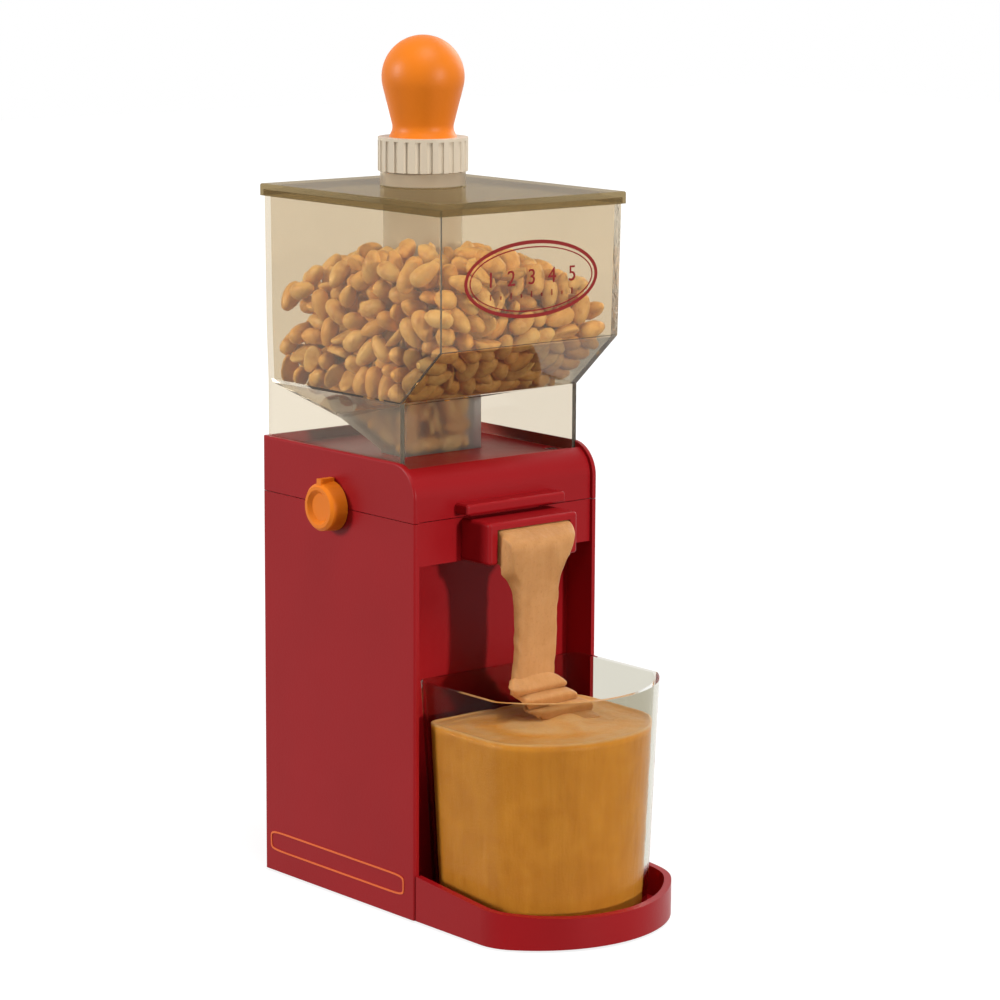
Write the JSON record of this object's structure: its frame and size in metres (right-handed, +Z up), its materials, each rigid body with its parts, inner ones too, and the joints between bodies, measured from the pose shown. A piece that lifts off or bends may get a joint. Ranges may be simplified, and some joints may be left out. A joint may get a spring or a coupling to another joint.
{
  "type": "nut butter grinder",
  "caption": "Electric nut butter grinder with a clear hopper, ball-topped pusher, side knob, wide spout and a clear cup standing in a base tray.",
  "frame": {"origin": "middle of the whole footprint at the level of the table", "axes": "+Z up, the spout and cup face -Y, +X to the right as seen from the front"},
  "size_m": [0.1064, 0.1808, 0.36],
  "materials": {
    "casing": "glossy red moulded plastic",
    "clear": "clear moulded plastic, faintly smoky",
    "orange": "satin orange plastic",
    "cream": "cream moulded plastic",
    "black": "black moulded plastic",
    "nylon": "natural nylon",
    "rubber": "black rubber",
    "steel": "plain steel",
    "magnet": "dark ferrite",
    "alloy": "stamped aluminium",
    "brass": "sintered bronze or brass"
  },
  "bodies": {
    "casing": {"base_screws": "steel", "base_tray": "casing", "chamber_screws": "steel", "chamber_seal": "rubber", "cord_bush": "black", "deck_screws": "steel", "fixed_burr": "steel", "gearbox_front_plate": "alloy", "gearbox_pillars": "alloy", "gearbox_rear_plate": "alloy", "gearbox_screws": "steel", "grinding_chamber": "nylon", "idler_pin": "steel", "lower_housing": "casing", "motor_bearings": "brass", "motor_can": "steel", "motor_end_cap": "black", "motor_magnets": "magnet", "motor_screws": "steel", "rubber_feet": "rubber", "shaft_bushes": "brass", "spout_block": "casing", "spout_screws": "steel", "switch_body": "black", "terminal_block": "black", "upper_housing": "casing"},
    "hopper": {"hopper": "clear"},
    "lid": {"hopper_lid": "clear"},
    "pusher": {"pusher_knob": "orange", "pusher_cap": "cream", "pusher_tube": "clear", "pusher_screw": "steel"},
    "cup": {"cup": "clear"},
    "control": {"side_knob": "orange", "switch_shaft": "nylon"},
    "motor": {"motor_armature": "steel", "motor_shaft": "steel", "motor_pinion": "brass", "cooling_fan": "black"},
    "idler": {"idler_gear": "nylon"},
    "feed_screw": {"auger": "nylon", "drive_shaft": "steel", "output_gear": "nylon", "rotating_burr": "steel"}
  },
  "joints": [
    {"name": "hopper_lift", "type": "slide", "parent": "casing", "child": "hopper", "axis": [0, 0, 1], "range_m": [0, 0.03]},
    {"name": "lid_lift", "type": "slide", "parent": "hopper", "child": "lid", "axis": [0, 0, 1], "range_m": [0, 0.045]},
    {"name": "pusher_lift", "type": "slide", "parent": "lid", "child": "pusher", "axis": [0, 0, 1], "range_m": [0, 0.05]},
    {"name": "cup_out", "type": "slide", "parent": "casing", "child": "cup", "axis": [0, -0.5, 0.866], "range_m": [0, 0.05]},
    {"name": "control_turn", "type": "hinge", "parent": "casing", "child": "control", "pos_m": [-0.04525, 0.0395, 0.1673], "axis": [1, 0, 0], "range_deg": [0, 90]},
    {"name": "motor_spin", "type": "hinge", "parent": "casing", "child": "motor", "pos_m": [0.00375, 0.0331, 0.096], "axis": [0, 1, 0], "continuous": true},
    {"name": "idler_spin", "type": "hinge", "parent": "casing", "child": "idler", "pos_m": [0.00375, 0.0631, 0.126], "axis": [0, 1, 0], "continuous": true},
    {"name": "feed_spin", "type": "hinge", "parent": "casing", "child": "feed_screw", "pos_m": [0.00375, 0.0331, 0.157], "axis": [0, 1, 0], "continuous": true}
  ],
  "couplings": [
    {"joint": "idler_spin", "follows": "motor_spin", "ratio": -0.25},
    {"joint": "feed_spin", "follows": "motor_spin", "ratio": 0.072917}
  ]
}
